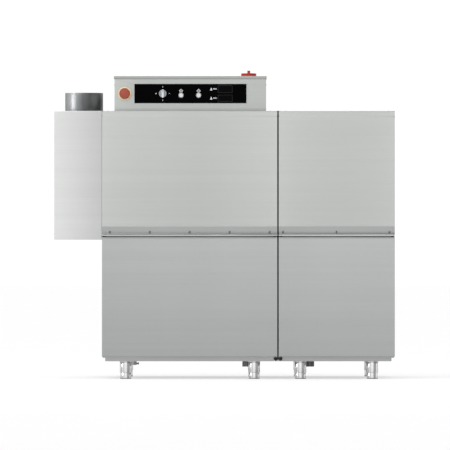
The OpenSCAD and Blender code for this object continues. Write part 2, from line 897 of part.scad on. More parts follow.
// Strip curtain hanging from its rod: a clamp bar with slit strips below it
module curtain(x) {
    count = 6;
    w = 480;
    t = 3;
    pitch = w / count;
    color("beige") translate([x, 0, curtain_z]) {
        translate([0, -curtain_half - 12, 0]) rod_y(rod_r, 2 * curtain_half + 24);
        translate([-t / 2 - 2, -w / 2, -30]) cube([t + 4, w, 28]);
        for (i = [0:count - 1])
            translate([-t / 2, -w / 2 + pitch * i + 1.5, curtain_bottom - curtain_z])
                cube([t, pitch - 3, curtain_z - curtain_bottom - 10]);
    }
}

module entry_curtain() { curtain(x_end - curtain_in); }

module middle_curtain() { curtain(x_prewash + curtain_in); }

module exit_curtain() { curtain(x_main + curtain_in); }

main_chassis();
prewash_chassis();
wash_tanks();
lower_front_panels();
rear_panels();
roof_panels();
end_panels();
module_seal();
joining_clamp();
exit_hood();
duct_collar();
door_rails();
balance_belts();
main_upper_pulley();
main_lower_pulley();
prewash_upper_pulley();
prewash_lower_pulley();
main_counterweight();
prewash_counterweight();
main_door();
main_door_handle();
main_door_screws();
main_door_shoes();
prewash_door();
prewash_door_handle();
prewash_door_screws();
prewash_door_shoes();
control_box();
control_box_lid();
fascia();
display_windows();
estop_ring();
estop_button();
selector_knob();
start_button();
stop_button();
main_switch_base();
main_switch_handle();
electrical_gear();
legs();
foot_cups();
rack_rails();
carriage();
entry_pawl();
exit_pawl();
crank();
gearmotor();
pumps();
wash_impeller();
prewash_impeller();
spray_arms();
booster_boiler();
heating_elements();
tank_filters();
drain_pipes();
wash_standpipe();
prewash_standpipe();
entry_curtain();
middle_curtain();
exit_curtain();
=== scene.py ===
"""Rack-conveyor dishwasher: finishes, small fittings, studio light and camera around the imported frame.

X runs along the conveyor, the operator stands at -Y and Z = 0 is the floor. Lengths are in metres, and
MM or mm() turns millimetres into them. Every piece is placed from the boxes of the frame's nodes.
"""
import json
import math
import random

import bmesh
import bpy
from mathutils import Matrix, Vector


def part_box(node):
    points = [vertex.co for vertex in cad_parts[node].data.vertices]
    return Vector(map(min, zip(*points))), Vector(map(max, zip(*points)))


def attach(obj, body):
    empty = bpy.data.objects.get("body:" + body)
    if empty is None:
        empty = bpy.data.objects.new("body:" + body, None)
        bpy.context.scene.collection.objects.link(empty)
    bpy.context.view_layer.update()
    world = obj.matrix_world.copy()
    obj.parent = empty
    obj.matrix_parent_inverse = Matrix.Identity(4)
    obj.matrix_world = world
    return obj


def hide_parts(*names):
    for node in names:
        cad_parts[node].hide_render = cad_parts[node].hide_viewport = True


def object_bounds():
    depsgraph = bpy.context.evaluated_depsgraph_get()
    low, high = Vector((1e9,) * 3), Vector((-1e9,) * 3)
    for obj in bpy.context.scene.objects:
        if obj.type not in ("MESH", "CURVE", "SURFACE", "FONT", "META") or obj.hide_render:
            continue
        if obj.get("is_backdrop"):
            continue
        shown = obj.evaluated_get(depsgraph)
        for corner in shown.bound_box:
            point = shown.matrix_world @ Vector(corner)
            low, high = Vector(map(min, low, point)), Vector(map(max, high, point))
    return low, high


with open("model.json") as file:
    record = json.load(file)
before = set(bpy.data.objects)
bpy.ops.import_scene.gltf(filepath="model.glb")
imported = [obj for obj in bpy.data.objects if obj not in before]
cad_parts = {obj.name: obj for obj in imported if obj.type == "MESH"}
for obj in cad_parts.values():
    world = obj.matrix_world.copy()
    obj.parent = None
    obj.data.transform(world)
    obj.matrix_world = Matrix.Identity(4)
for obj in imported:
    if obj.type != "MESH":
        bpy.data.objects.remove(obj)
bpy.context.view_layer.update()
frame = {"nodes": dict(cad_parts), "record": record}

MM = 0.001
RNG = random.Random(7)


def mm(*points):
    """Points given in millimetres, as tuples in metres."""
    return [tuple(value * MM for value in point) for point in points]


def centre(node):
    """Middle of a node's box."""
    low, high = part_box(node)
    return (low + high) / 2


# ---------------------------------------------------------------- materials


def srgb(r, g, b):
    """Linear colour from 0-255 screen values."""
    def lin(c):
        c /= 255
        return c / 12.92 if c <= 0.04045 else ((c + 0.055) / 1.055) ** 2.4
    return (lin(r), lin(g), lin(b), 1)


def calculate(tree, operation, *values):
    """Math node of a tree, fed with sockets or numbers."""
    node = tree.nodes.new("ShaderNodeMath")
    node.operation = operation
    for socket, value in zip(node.inputs, values):
        if isinstance(value, (int, float)):
            socket.default_value = value
        else:
            tree.links.new(value, socket)
    return node.outputs[0]


FINISH = {}  # every material by its name, filled as they are made


class Nodes:
    """Short helper that builds a material's node tree around one Principled shader."""

    def __init__(self, name):
        self.mat = FINISH[name] = bpy.data.materials.new(name)
        self.mat.use_nodes = True
        self.tree = self.mat.node_tree
        self.bsdf = self.tree.nodes["Principled BSDF"]
        self.coord = self.tree.nodes.new("ShaderNodeTexCoord")

    def new(self, kind, operation=None):
        node = self.tree.nodes.new("ShaderNode" + kind)
        if operation:
            node.operation = operation
        return node

    def link(self, a, b):
        self.tree.links.new(a, b)

    def set(self, **values):
        """Sets the shader's inputs, named with underscores for spaces, to numbers, colours or sockets."""
        for name, value in values.items():
            socket = self.bsdf.inputs[name.replace("_", " ")]
            if isinstance(value, bpy.types.NodeSocket):
                self.link(value, socket)
            else:
                socket.default_value = value

    def noise(self, scale, detail=3.0, rough=0.5):
        """Noise in object space, stretched by the vector scale."""
        mapping = self.new("Mapping")
        mapping.inputs["Scale"].default_value = scale
        self.link(self.coord.outputs["Object"], mapping.inputs["Vector"])
        node = self.new("TexNoise")
        node.inputs["Scale"].default_value = 1.0
        node.inputs["Detail"].default_value = detail
        node.inputs["Roughness"].default_value = rough
        self.link(mapping.outputs["Vector"], node.inputs["Vector"])
        return node.outputs["Fac"]

    def span(self, fac, low, high, a=0.3, b=0.7):
        """Maps fac from the range a..b to low..high."""
        node = self.new("MapRange")
        for key, value in zip(("From Min", "From Max", "To Min", "To Max"), (a, b, low, high)):
            node.inputs[key].default_value = value
        self.link(fac, node.inputs["Value"])
        return node.outputs["Result"]

    def scaled(self, colour, fac):
        """Colour multiplied by a grey factor."""
        node = self.new("VectorMath", "SCALE")
        node.inputs[0].default_value = colour[:3]
        self.link(fac, node.inputs["Scale"])
        return node.outputs["Vector"]

    def bumps(self, *layers):
        """Chain of bump nodes from (height, strength, distance) layers."""
        normal = None
        for height, strength, distance in layers:
            node = self.new("Bump")
            node.inputs["Strength"].default_value = strength
            node.inputs["Distance"].default_value = distance
            self.link(height, node.inputs["Height"])
            if normal:
                self.link(normal, node.inputs["Normal"])
            normal = node.outputs["Normal"]
        self.link(normal, self.bsdf.inputs["Normal"])

    def multiply(self, *factors):
        result = factors[0]
        for factor in factors[1:]:
            result = calculate(self.tree, "MULTIPLY", result, factor)
        return result

    def painted_corner_shade(self, distance, low):
        """Factor that falls to low in tight corners, from an ambient-occlusion test: painted shade."""
        node = self.new("AmbientOcclusion")
        node.samples = 4
        node.inputs["Distance"].default_value = distance
        return self.span(node.outputs["AO"], low, 1.0, 0.2, 0.9)

    def edge_mask(self, radius=1.2 * MM):
        """Factor near 1 on sharp edges, from the difference a rounded normal makes."""
        bevel = self.new("Bevel")
        bevel.samples = 4
        bevel.inputs["Radius"].default_value = radius
        dot = self.new("VectorMath", "DOT_PRODUCT")
        self.link(bevel.outputs["Normal"], dot.inputs[0])
        self.link(self.new("NewGeometry").outputs["Normal"], dot.inputs[1])
        return self.span(dot.outputs["Value"], 1.0, 0.0, 0.85, 0.995)


# Noise stretched along the brushing direction, as marks per metre along X, Y and Z
GRAINS = {"x": (1.6, 260, 900), "y": (900, 1.6, 900), "z": (900, 900, 1.6)}
STREAKS = {"x": (0.5, 14, 42), "y": (42, 0.5, 42), "z": (42, 42, 0.5)}
SMUDGES = (2.6, 2.6, 3.4)
# Broad upright bands of brightness: a painted sheen that stands in for the reflections of brushed sheet
PAINTED_SHEEN_BANDS = (2.4, 2.4, 0.2)


def brushed(name, colour, rough=0.36, grain="x", shade=0.018, height=None, painted_light_across=None, painted_side_sheen=None,
            painted_corner_shade=0.62, bump=1.0):
    """Stainless sheet with fine directional grain, long streaks, smudges, painted upright sheen bands,
    painted shade in its corners, and edges lightened partly as wear and partly as a painted highlight.

    height = (z0, factor0, z1, factor1) paints light and shade on the sheet as a ramp from z0 to z1, and the
    ramp along X paints them in the same way.
    The side ramp (x0, x1, factor) is a painted highlight that brightens a slightly dished sheet from its
    middle towards x0 and x1.
    """
    n = Nodes(name)
    fine = n.noise(GRAINS[grain], 4.0, 0.65)
    streak = n.noise(STREAKS[grain])
    smudge = n.noise(SMUDGES, 4.0, 0.6)
    # The grain, streaks and smudges are the sheet's own marks; the corner factor is painted shade and the
    # upright bands are a painted sheen
    tone = n.multiply(n.span(streak, 1 - shade, 1 + shade), n.span(smudge, 0.975, 1.02),
                      n.span(fine, 0.955, 1.04), n.painted_corner_shade(12 * MM, painted_corner_shade),
                      n.span(n.noise(PAINTED_SHEEN_BANDS, 2.0), 0.985, 1.015))
    split = n.new("SeparateXYZ")
    n.link(n.coord.outputs["Object"], split.inputs[0])
    # Ramps of painted light and shade along Z and X
    for axis, ramp in (("Z", height), ("X", painted_light_across)):
        if ramp:
            start, start_factor, end, end_factor = ramp
            tone = n.multiply(tone, n.span(split.outputs[axis], start_factor, end_factor, start, end))
    # Painted highlight that grows from the middle of the sheet towards its sides
    if painted_side_sheen:
        side = n.span(split.outputs["X"], -1.0, 1.0, painted_side_sheen[0], painted_side_sheen[1])
        tone = n.multiply(tone, n.span(n.multiply(side, side), 1.0, painted_side_sheen[2], 0.0, 1.0))
    # Sharp edges lightened by up to 12 percent: partly wear, partly a painted highlight
    tone = n.multiply(tone, n.span(n.edge_mask(), 1.0, 1.12, 0.0, 1.0))
    n.set(Base_Color=n.scaled(colour, tone), Metallic=1.0, Anisotropic=0.45,
          Roughness=n.multiply(n.span(fine, rough * 0.82, rough * 1.2), n.span(smudge, 0.9, 1.14)))
    n.bumps((fine, 0.12 * bump, 0.2 * MM), (smudge, 0.10 * bump, 4 * MM))


def moulded(name, colour, rough, grain=900, bump=0.12, coat=0.0, shade_in_corners=0.9, shine=0.5):
    """Moulded plastic or rubber with a fine texture, faint mottling, painted shade in its corners, and edges
    lightened partly as wear and partly as a painted highlight.
    """
    n = Nodes(name)
    fine = n.noise((grain, grain, grain), 2.0)
    mottle = n.noise((24, 24, 24))
    # Painted shade in the corners, from the ambient-occlusion test
    tone = n.multiply(n.span(mottle, 0.94, 1.05), n.painted_corner_shade(6 * MM, shade_in_corners * 0.8))
    # Sharp edges lightened: partly wear, partly a painted highlight
    tone = n.multiply(tone, n.span(n.edge_mask(0.7 * MM), 1.0, 1.22, 0.0, 1.0))
    n.set(Base_Color=n.scaled(colour, tone), Roughness=n.span(mottle, rough * 0.85, rough * 1.2),
          Coat_Weight=coat, Specular_IOR_Level=shine)
    n.bumps((fine, bump, 0.2 * MM), (mottle, 0.05, 2 * MM))


def cast(name, colour, rough):
    """Painted casting with an orange-peel skin, chips of bare metal on its edges and painted shade in its
    corners.
    """
    n = Nodes(name)
    peel = n.noise((260, 260, 260), 2.0)
    mottle = n.noise((12, 12, 12), 4.0)
    chips = n.multiply(n.edge_mask(1.5 * MM), n.span(n.noise((90, 90, 90)), 0.0, 1.0, 0.45, 0.6))
    mix = n.new("Mix")
    mix.data_type = "RGBA"
    paint, bare, mixed = mix.inputs[6], mix.inputs[7], mix.outputs[2]
    n.link(chips, mix.inputs["Factor"])
    # Painted shade in the corners of the casting
    n.link(n.scaled(colour, n.multiply(n.span(mottle, 0.86, 1.1), n.painted_corner_shade(20 * MM, 0.55))), paint)
    bare.default_value = srgb(150, 150, 150)
    n.set(Base_Color=mixed, Roughness=n.span(mottle, rough * 0.85, rough * 1.2))
    n.bumps((peel, 0.22, 0.5 * MM), (mottle, 0.1, 3 * MM))


def film(name, colour):
    """Clear flexible strip with faint wipe marks, through which some light passes."""
    n = Nodes(name)
    wipe = n.noise((60, 60, 3))
    n.set(Base_Color=n.scaled(colour, n.span(wipe, 0.9, 1.06)), Roughness=n.span(wipe, 0.22, 0.42),
          Transmission_Weight=0.35)
    n.bumps((wipe, 0.15, 1 * MM))


def sheet_finishes():
    """Steel finishes. Their ramps of painted light and shade and their painted side highlights follow the
    boxes of the panels that they are made for.
    """
    skin = srgb(199, 201, 199)
    lower, lower_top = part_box("lower_front_panels")
    hood, hood_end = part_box("exit_hood")
    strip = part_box("main_door_handle")[0]
    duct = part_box("duct_collar")[0]
    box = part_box("control_box")[0]
    door, door_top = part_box("main_door")
    door2, door2_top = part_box("prewash_door")
    left, right = 20 * MM, 40 * MM
    # Painted shade: the panels and doors darken towards their foot, and the doors also get a painted
    # highlight towards their sides
    brushed("panel_steel", skin, height=(door.z, 0.93, door_top.z, 1.02))
    brushed("main_door_steel", skin, height=(door.z, 0.92, door_top.z, 0.995),
            painted_side_sheen=(door.x - left, door_top.x + right, 1.12))
    brushed("prewash_door_steel", skin, height=(door2.z, 0.925, door2_top.z, 0.99),
            painted_side_sheen=(door2.x - left, door2_top.x + right, 1.1))
    # Painted shade that deepens towards the foot of the lower panels and towards their left end
    brushed("lower_steel", srgb(193, 195, 194), 0.38, height=(lower.z, 0.80, lower_top.z, 0.99),
            painted_light_across=(lower.x, 0.95, lower_top.x, 1.0))
    brushed("plinth_steel", srgb(172, 173, 172), 0.42)
    # Painted shadow along the foot of the box, and painted light on its left end
    brushed("box_steel", srgb(190, 193, 190), 0.38, height=(box.z, 0.72, box.z + 18 * MM, 1.0),
            painted_light_across=(box.x, 1.13, box.x + 160 * MM, 1.01), painted_corner_shade=0.8)
    # The lid's finish is a darker copy of the box steel: painted shade
    brushed("lid_steel_painted_shade", srgb(177, 179, 177), 0.4, painted_corner_shade=0.97)
    # The handle strips' finish is a darker copy of the sheet, darkest low down: painted shade
    brushed("handle_steel_painted_shade", srgb(192, 194, 193), shade=0.015,
            height=(strip.z + 14 * MM, 0.68, strip.z + 22 * MM, 0.80))
    # The lip's finish is a lighter copy of the sheet: painted highlight
    brushed("lip_steel_painted_highlight", srgb(226, 228, 227), painted_corner_shade=0.95)
    # The hood's finish is a lighter copy of the sheet, brightest at its left end: painted light
    brushed("hood_steel_painted_light", srgb(206, 207, 206), painted_light_across=(hood.x, 1.24, hood_end.x, 0.94))
    brushed("frame_steel", srgb(190, 192, 192), 0.44, "z", 0.05)
    # The duct's dark finish is a painted dark reflection, with a painted highlight over its left side
    brushed("duct_steel", srgb(102, 103, 104), 0.33, "z", 0.04,
            painted_light_across=(duct.x + 45 * MM, 2.9, duct.x + 95 * MM, 1.0))
    brushed("leg_steel", srgb(232, 232, 232), 0.14, "z", 0.02, painted_corner_shade=0.85, bump=0.1)
    brushed("screw_steel", srgb(150, 151, 151), 0.2, "x", 0.03)
    brushed("pulley_aluminium", srgb(190, 191, 194), 0.32, "y", 0.04)


def other_finishes():
    """Plastics, rubbers, prints, painted castings and the curtain film."""
    cast("weight_iron", srgb(66, 67, 69), 0.6)
    cast("motor_paint", srgb(62, 74, 88), 0.42)
    moulded("seal_rubber", srgb(22, 22, 22), 0.62, 700, 0.3, shine=0.3)
    moulded("clamp_plastic", srgb(20, 20, 20), 0.42, 800, 0.2, shine=0.3)
    moulded("fascia_black", srgb(2, 2, 3), 0.45, 1500, 0.05, shade_in_corners=1.0, shine=0.02)
    moulded("display_glass", srgb(5, 5, 6), 0.12, 400, 0.01, shade_in_corners=1.0, shine=0.03)
    moulded("estop_cream", srgb(240, 224, 172), 0.42, bump=0.1)
    moulded("stop_red", srgb(172, 40, 30), 0.4, bump=0.08, shine=0.35)
    moulded("estop_red", srgb(150, 70, 57), 0.45, bump=0.1, shine=0.3)
    moulded("knob_grey", srgb(140, 143, 147), 0.36, bump=0.08, coat=0.1)
    moulded("knob_white", srgb(206, 208, 210), 0.36, bump=0.08, coat=0.1)
    moulded("slide_plastic", srgb(228, 228, 224), 0.5, 600, 0.15)
    moulded("pawl_plastic", srgb(214, 120, 40), 0.46, 600, 0.15)
    moulded("gear_grey", srgb(176, 178, 176), 0.5, 700, 0.15)
    moulded("print_white", srgb(200, 202, 202), 0.5, 1200, 0.03)
    moulded("cable_black", srgb(26, 26, 28), 0.48, bump=0.15)
    moulded("hose_grey", srgb(96, 98, 100), 0.55, 500, 0.3)
    film("curtain_film", srgb(214, 214, 204))


sheet_finishes()
other_finishes()

# Nodes with a finish of their own, in place of the one named in their material slot; several of these
# finishes carry painted light and shade
NODE_FINISH = {
    "lower_front_panels": "lower_steel",
    "main_chassis": "plinth_steel",
    "prewash_chassis": "plinth_steel",
    "exit_hood": "hood_steel_painted_light",
    "control_box": "box_steel",
    "control_box_lid": "lid_steel_painted_shade",
    "estop_button": "estop_red",
    "main_door": "main_door_steel",
    "prewash_door": "prewash_door_steel",
    "main_door_handle": "handle_steel_painted_shade",
    "prewash_door_handle": "handle_steel_painted_shade",
}

# Radius of rounded edges in millimetres, and the nodes that have it
ROUNDED = {
    0.3: ("display_windows",),
    0.4: ("duct_collar",),
    0.6: ("fascia",),
    1.0: ("main_door", "prewash_door", "main_door_handle", "prewash_door_handle", "main_door_shoes",
          "prewash_door_shoes", "lower_front_panels", "end_panels", "rear_panels", "exit_hood",
          "control_box", "control_box_lid", "estop_ring", "legs", "electrical_gear", "crank",
          "booster_boiler"),
    1.2: ("selector_knob",),
    1.5: ("main_switch_base", "start_button", "stop_button", "foot_cups", "joining_clamp"),
    2.0: ("main_switch_handle", "entry_pawl", "exit_pawl"),
    2.5: ("gearmotor",),
}


def finish_frame():
    """Gives each frame node its finish, and rounds its sharp edges with modifiers."""
    slots = {part["node"]: part["material_slot"] for part in frame["record"]["subparts"]}
    widths = {node: width for width, nodes in ROUNDED.items() for node in nodes}
    for name, obj in frame["nodes"].items():
        obj.data.materials.clear()
        obj.data.materials.append(FINISH[NODE_FINISH.get(name, slots[name])])
        if name in widths:
            weld = obj.modifiers.new("weld", "WELD")
            weld.merge_threshold = 0.01 * MM
            bevel = obj.modifiers.new("edges", "BEVEL")
            bevel.width = widths[name] * MM
            bevel.segments = 2
            bevel.limit_method = "ANGLE"
            bevel.angle_limit = math.radians(40)
            bevel.harden_normals = False


# ---------------------------------------------------------------- mesh helpers

# Turns that send +Z to the named direction
OUTWARD = {
    "+Z": Matrix.Identity(4),
    "-Y": Matrix.Rotation(math.radians(90), 4, "X"),
    "+Y": Matrix.Rotation(math.radians(-90), 4, "X"),
    "+X": Matrix.Rotation(math.radians(90), 4, "Y"),
    "-X": Matrix.Rotation(math.radians(-90), 4, "Y"),
}


def piece(name, bm, body, finish, smooth=35):
    """Object from a bmesh that rides on a body; faces that meet below smooth degrees are shaded as one."""
    bmesh.ops.remove_doubles(bm, verts=bm.verts, dist=MM / 1000)
    bmesh.ops.recalc_face_normals(bm, faces=bm.faces)
    mesh = bpy.data.meshes.new(name)
    bm.to_mesh(mesh)
    bm.free()
    mesh.materials.append(FINISH[finish])
    obj = bpy.data.objects.new(name, mesh)
    bpy.context.scene.collection.objects.link(obj)
    if smooth:
        mesh.shade_smooth()
        mesh.set_sharp_from_angle(angle=math.radians(smooth))
    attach(obj, body)
    return obj


def add_box(bm, low, high, radius=0.0, segments=2):
    """Box between two corners, with its edges rounded to radius."""
    low, high = Vector(low), Vector(high)
    new = bmesh.ops.create_cube(bm, size=1.0)["verts"]
    bmesh.ops.scale(bm, vec=high - low, verts=new)
    bmesh.ops.translate(bm, vec=(low + high) / 2, verts=new)
    if radius:
        edges = list({e for v in new for e in v.link_edges})
        bmesh.ops.bevel(bm, geom=edges, offset=radius, segments=segments, affect="EDGES", profile=0.5)


def lathe(bm, outline, at, out="+Z", steps=32, closed=False):
    """Revolves (radius, height) points round the line out through at; ends are capped unless closed."""
    turn = OUTWARD[out].to_3x3()
    at = Vector(at)
    rings = []
    for radius, height in outline:
        count = steps if radius > MM / 1e4 else 1
        angles = [2 * math.pi * i / steps for i in range(count)]
        rings.append([bm.verts.new(at + turn @ Vector((radius * math.cos(a), radius * math.sin(a), height)))
                      for a in angles])
    pairs = list(zip(rings, rings[1:])) + ([(rings[-1], rings[0])] if closed else [])
    for a, b in pairs:
        for i in range(steps):
            j = (i + 1) % steps
            corners = [a[i % len(a)], a[j % len(a)], b[j % len(b)], b[i % len(b)]]
            corners = [c for k, c in enumerate(corners) if c not in corners[:k]]
            if len(corners) > 2:
                bm.faces.new(corners)
    if not closed:
        for ring in (rings[0], rings[-1]):
            if len(ring) > 2:
                bm.faces.new(ring)


def loft(bm, rings):
    """Closed solid through rings of equal length, each a list of points."""
    rows = [[bm.verts.new(point) for point in ring] for ring in rings]
    count = len(rows[0])
    for a, b in zip(rows, rows[1:]):
        for i in range(count):
            j = (i + 1) % count
            bm.faces.new((a[i], a[j], b[j], b[i]))
    bm.faces.new(rows[0])
    bm.faces.new(rows[-1])


def border(x0, z0, x1, z1, width):
    """Four bars of a width round a rectangle, each as its lower and upper corner."""
    return (((x0 - width, z0 - width), (x1 + width, z0)), ((x0 - width, z1), (x1 + width, z1 + width)),
            ((x0 - width, z0), (x0, z1)), ((x1, z0), (x1 + width, z1)))


def dome_screw(bm, at, radius, height, out="-Y", cross=True):
    """Domed screw head, with a cross recess if asked, standing out from at along out."""
    part = bmesh.new()
    rows = [(radius * math.cos(a), height * math.sin(a)) for a in (i * math.pi / 10 for i in range(5))]
    lathe(part, [(radius, -0.2 * MM)] + rows + [(0, height)], (0, 0, 0), steps=24)
    if cross:
        for v in part.verts:
            arm = min(abs(v.co.x), abs(v.co.y))
            if v.co.z > 0.5 * height and arm < 0.16 * radius:
                v.co.z -= 0.35 * height
    bmesh.ops.transform(part, matrix=Matrix.Translation(at) @ OUTWARD[out], verts=part.verts)
    mesh = bpy.data.meshes.new("screw_tmp")
    part.to_mesh(mesh)
    bm.from_mesh(mesh)
    bpy.data.meshes.remove(mesh)
    part.free()


def louvre(bm, x0, x1, y, z):
    """Pressed louvre: a blade that opens downwards and stands out of a sheet whose outer face is at y."""
    out, rise, taper, steps = 5 * MM, 13 * MM, 6 * MM, 6
    rows = [(y + out * math.sin(math.pi / 2 * t), z + rise * (1 - t))
            for t in (i / steps for i in range(steps + 1))]
    rows += [(y + 4 * MM, z - 0.8 * MM), (y, z - 0.2 * MM)]
    grid = [[bm.verts.new((x, y if end else row_y, row_z)) for row_y, row_z in rows]
            for x, end in ((x0, True), (x0 + taper, False), (x1 - taper, False), (x1, True))]
    for a, b in zip(grid, grid[1:]):
        for i in range(len(rows) - 1):
            bm.faces.new((a[i], a[i + 1], b[i + 1], b[i]))


def hose(name, points, radius, body, finish):
    """Round flexible line through points."""
    data = bpy.data.curves.new(name, "CURVE")
    data.dimensions = "3D"
    data.bevel_depth = radius
    data.bevel_resolution = 5
    data.use_fill_caps = True
    spline = data.splines.new("BEZIER")
    spline.bezier_points.add(len(points) - 1)
    for knot, point in zip(spline.bezier_points, points):
        knot.co = point
        knot.handle_left_type = knot.handle_right_type = "AUTO"
    data.materials.append(FINISH[finish])
    obj = bpy.data.objects.new(name, data)
    bpy.context.scene.collection.objects.link(obj)
    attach(obj, body)
    return obj


def columns(node, axis, gap):
    """Centres along an axis of a node's separate columns, which stand at least gap apart."""
    values = sorted({round(v.co[axis], 3) for v in frame["nodes"][node].data.vertices})
    groups = [[values[0]]]
    for value in values[1:]:
        if value - groups[-1][-1] < gap:
            groups[-1].append(value)
        else:
            groups.append([value])
    return [(group[0] + group[-1]) / 2 for group in groups]


# ---------------------------------------------------------------- control panel

PRINT_DEPTH = 0.25 * MM


def fascia_face():
    """Y of the black plate's flat face, behind the button bezels that stand out of it."""
    plate_t = 3 * MM
    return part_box("fascia")[1].y - plate_t


def arc(x, z, radius, start, end, steps=16):
    """Points on a circle in the XZ plane from start to end degrees, counted from +X towards +Z."""
    angles = [math.radians(start + (end - start) * i / steps) for i in range(steps + 1)]
    return [(x + radius * math.cos(a), z + radius * math.sin(a)) for a in angles]


def add_print(bm, points):
    """Flat mark in the XZ plane, raised a little from the black plate."""
    y = fascia_face()
    loft(bm, [[(x, y - PRINT_DEPTH, z) for x, z in points], [(x, y, z) for x, z in points]])


def add_ring(bm, x, z, inner, outer):
    """Printed ring, left open by ten degrees so that its outline is one loop."""
    add_print(bm, arc(x, z, outer, 0, 350) + arc(x, z, inner, 350, 0))


def add_bar(bm, x, z, width, height):
    w, h = width / 2, height / 2
    add_print(bm, [(x - w, z - h), (x + w, z - h), (x + w, z + h), (x - w, z + h)])


def panel_prints():
    """Generic marks on the black plate: round the knob, over the buttons and beside the displays."""
    bm = bmesh.new()
    knob = centre("selector_knob")
    round_knob = 35 * MM
    add_ring(bm, knob.x - round_knob, knob.z, 1.4 * MM, 3.4 * MM)
    add_ring(bm, knob.x + round_knob, knob.z, 1.6 * MM, 2.4 * MM)
    for side in (-1, 1):
        add_bar(bm, knob.x, knob.z + side * round_knob, 2.6 * MM, 6 * MM)

    start, stop = centre("start_button"), centre("stop_button")
    sign_z = start.z + 23 * MM
    petals = 5
    for k in range(petals):
        a = math.radians(90 + 360 / petals * k)
        add_ring(bm, start.x + 7 * MM * math.cos(a), sign_z + 6 * MM * math.sin(a), 1.6 * MM, 3.6 * MM)
    inner, outer = 7 * MM, 11 * MM
    corners = [(math.cos(a), math.sin(a)) for a in (math.pi / 2 * k for k in range(5))]
    for (xa, za), (xb, zb) in zip(corners, corners[1:]):
        add_print(bm, [(stop.x + r * x, sign_z + r * z) for r, x, z in
                       ((outer, xa, za), (outer, xb, zb), (inner, xb, zb), (inner, xa, za))])
    add_print(bm, arc(stop.x, sign_z, 2.4 * MM, 0, 340, 12))

    low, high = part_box("display_windows")
    sign_x, bars_x = low.x - 37 * MM, low.x - 18 * MM
    for z in (high.z - 17.5 * MM, low.z + 15.5 * MM):
        add_print(bm, [(sign_x + x, z + up) for x, up in mm((-6.5, -7), (6.5, -7), (1, 7), (-1, 7))])
        for up in (-0.8 * MM, 2.8 * MM):
            add_bar(bm, bars_x, z + up, 19 * MM, 2 * MM)
    piece("panel_prints", bm, "casing", "print_white", 0)


def display_bezels():
    """Narrow raised frames round the two windows."""
    low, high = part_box("display_windows")
    upper_h, lower_h, width, proud = 35 * MM, 31 * MM, 2.2 * MM, 1.2 * MM
    for i, (z0, z1) in enumerate(((high.z - upper_h, high.z), (low.z, low.z + lower_h))):
        bm = bmesh.new()
        for a, b in border(low.x, z0, high.x, z1, width):
            add_box(bm, (a[0], low.y - proud, a[1]), (b[0], high.y, b[1]), 0.4 * MM, 1)
        piece(f"display_bezel_{i}", bm, "casing", "clamp_plastic", 0)


def button_details():
    """Rings round the push buttons and a dished cap on each."""
    ring = mm((11.6, 0), (13.8, 0), (13.8, 1.2), (13, 1.8), (12.2, 1.8), (11.6, 1.2))
    cap = mm((0, -0.2), (6, 0.1), (8.6, 0.9), (9.6, 0.9), (10, 0.3), (10, -0.4))
    bezel_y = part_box("fascia")[0].y
    for node in ("start_button", "stop_button"):
        at = centre(node)
        bm = bmesh.new()
        lathe(bm, ring, (at.x, bezel_y, at.z), "-Y", 48, closed=True)
        piece(node + "_ring", bm, "casing", "knob_grey")
        bm = bmesh.new()
        lathe(bm, cap, (at.x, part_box(node)[0].y, at.z), "-Y", 48)
        piece(node + "_cap", bm, node, "knob_white")


def knob_details():
    """Selector knob with a fluted skirt and a pointed grip bar, in place of the plain one."""
    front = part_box("selector_knob")[0].y
    at = centre("selector_knob")
    face = fascia_face()
    flutes, radius, flute = 36, 19.6 * MM, 0.5 * MM
    turns = [(math.pi * k / flutes, radius + flute * (k % 2)) for k in range(2 * flutes)]
    bm = bmesh.new()
    loft(bm, [[(at.x + (r - inset) * math.cos(a), face - out, at.z + (r - inset) * math.sin(a))
               for a, r in turns] for out, inset in mm((0.3, 0), (9, 0), (9.6, 1.2))])
    lathe(bm, mm((4, -14), (4, 6)), (at.x, face, at.z), "-Y", 24)
    skirt = piece("knob_skirt", bm, "selector_knob", "knob_grey", 20)
    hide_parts("selector_knob")

    half, nose, shoulder, tip = 6 * MM, 2.5 * MM, 14 * MM, 22 * MM
    outline = [(-half, -shoulder), (-nose, -tip), (nose, -tip), (half, -shoulder),
               (half, shoulder), (nose, tip), (-nose, tip), (-half, shoulder)]
    bm = bmesh.new()
    loft(bm, [[(at.x + x * size, y, at.z + z * (0.94 + 0.06 * size)) for x, z in outline]
              for y, size in ((face - 8 * MM, 1.0), (front + 1.6 * MM, 1.0), (front, 0.8))])
    piece("knob_grip", bm, "selector_knob", "knob_white", 25)
    bm = bmesh.new()
    add_box(bm, (at.x - 1 * MM, front - 0.4 * MM, at.z + 6 * MM),
            (at.x + 1 * MM, front + 1 * MM, at.z + 19 * MM), 0.3 * MM, 1)
    piece("knob_pointer", bm, "selector_knob", "cable_black", 0)


def estop_details():
    """Grooved crown of the stop button, and a rim on its ring."""
    at = centre("estop_button")
    crown = mm((0, 2.6), (6, 2.5), (12, 2.0), (17, 1.1), (20, 0.2), (21.5, 0.9), (23, 0.2), (24, -0.2),
               (24, -1.2))
    bm = bmesh.new()
    lathe(bm, crown, (at.x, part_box("estop_button")[0].y, at.z), "-Y", 64)
    piece("estop_crown", bm, "estop_button", "estop_red", 50)
    bm = bmesh.new()
    lathe(bm, mm((30.5, 0), (33.6, 0), (33.6, 0.8), (30.5, 0.8)), (at.x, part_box("estop_ring")[0].y, at.z),
          "-Y", 64, closed=True)
    piece("estop_ring_rim", bm, "casing", "estop_cream")


